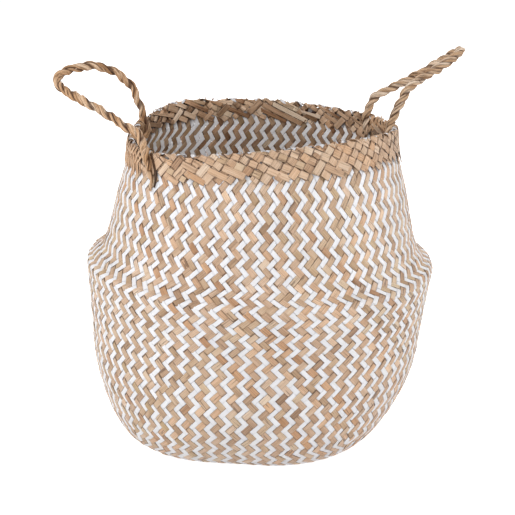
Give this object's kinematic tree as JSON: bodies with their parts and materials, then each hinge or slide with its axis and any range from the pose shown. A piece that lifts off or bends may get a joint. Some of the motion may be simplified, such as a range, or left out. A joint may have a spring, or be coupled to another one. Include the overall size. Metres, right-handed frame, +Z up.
{
  "type": "storage basket",
  "caption": "Belly-shaped basket plaited from natural and white seagrass strips in a zigzag twill, with a folded natural rim and swinging twisted rope handles.",
  "frame": {"origin": "on the underside of the base, below the centre of the belly fold", "axes": "+Z up, -Y towards the front, +X to the right as seen from the front"},
  "size_m": [0.3833, 0.325, 0.3489],
  "materials": {
    "natural_seagrass": "dry plaited seagrass strip, matt with a faint sheen",
    "white_seagrass": "white painted seagrass strip, matt",
    "seagrass_rope": "two-ply twisted seagrass rope, fibrous"
  },
  "bodies": {
    "basket": {"base_mat": "natural_seagrass", "foot_wall": "white_seagrass", "belly_wall": "white_seagrass", "shoulder_wall": "white_seagrass", "neck_wall": "white_seagrass", "rim_border": "natural_seagrass", "left_front_tail": "seagrass_rope", "left_back_tail": "seagrass_rope", "right_front_tail": "seagrass_rope", "right_back_tail": "seagrass_rope", "left_tucked_ends": "natural_seagrass", "right_tucked_ends": "natural_seagrass"},
    "left_handle": {"left_handle_rope": "seagrass_rope"},
    "right_handle": {"right_handle_rope": "seagrass_rope"}
  },
  "joints": [
    {"name": "left_handle_swing", "type": "hinge", "parent": "basket", "child": "left_handle", "pos_m": [-0.10481, -0.01501, 0.28582], "axis": [-0.139, 0.9894, 0.0428], "range_deg": [-26, 105]},
    {"name": "right_handle_swing", "type": "hinge", "parent": "basket", "child": "right_handle", "pos_m": [0.11343, 0.0309, 0.29022], "axis": [0.267, -0.9629, 0.0378], "range_deg": [-34, 110]}
  ]
}
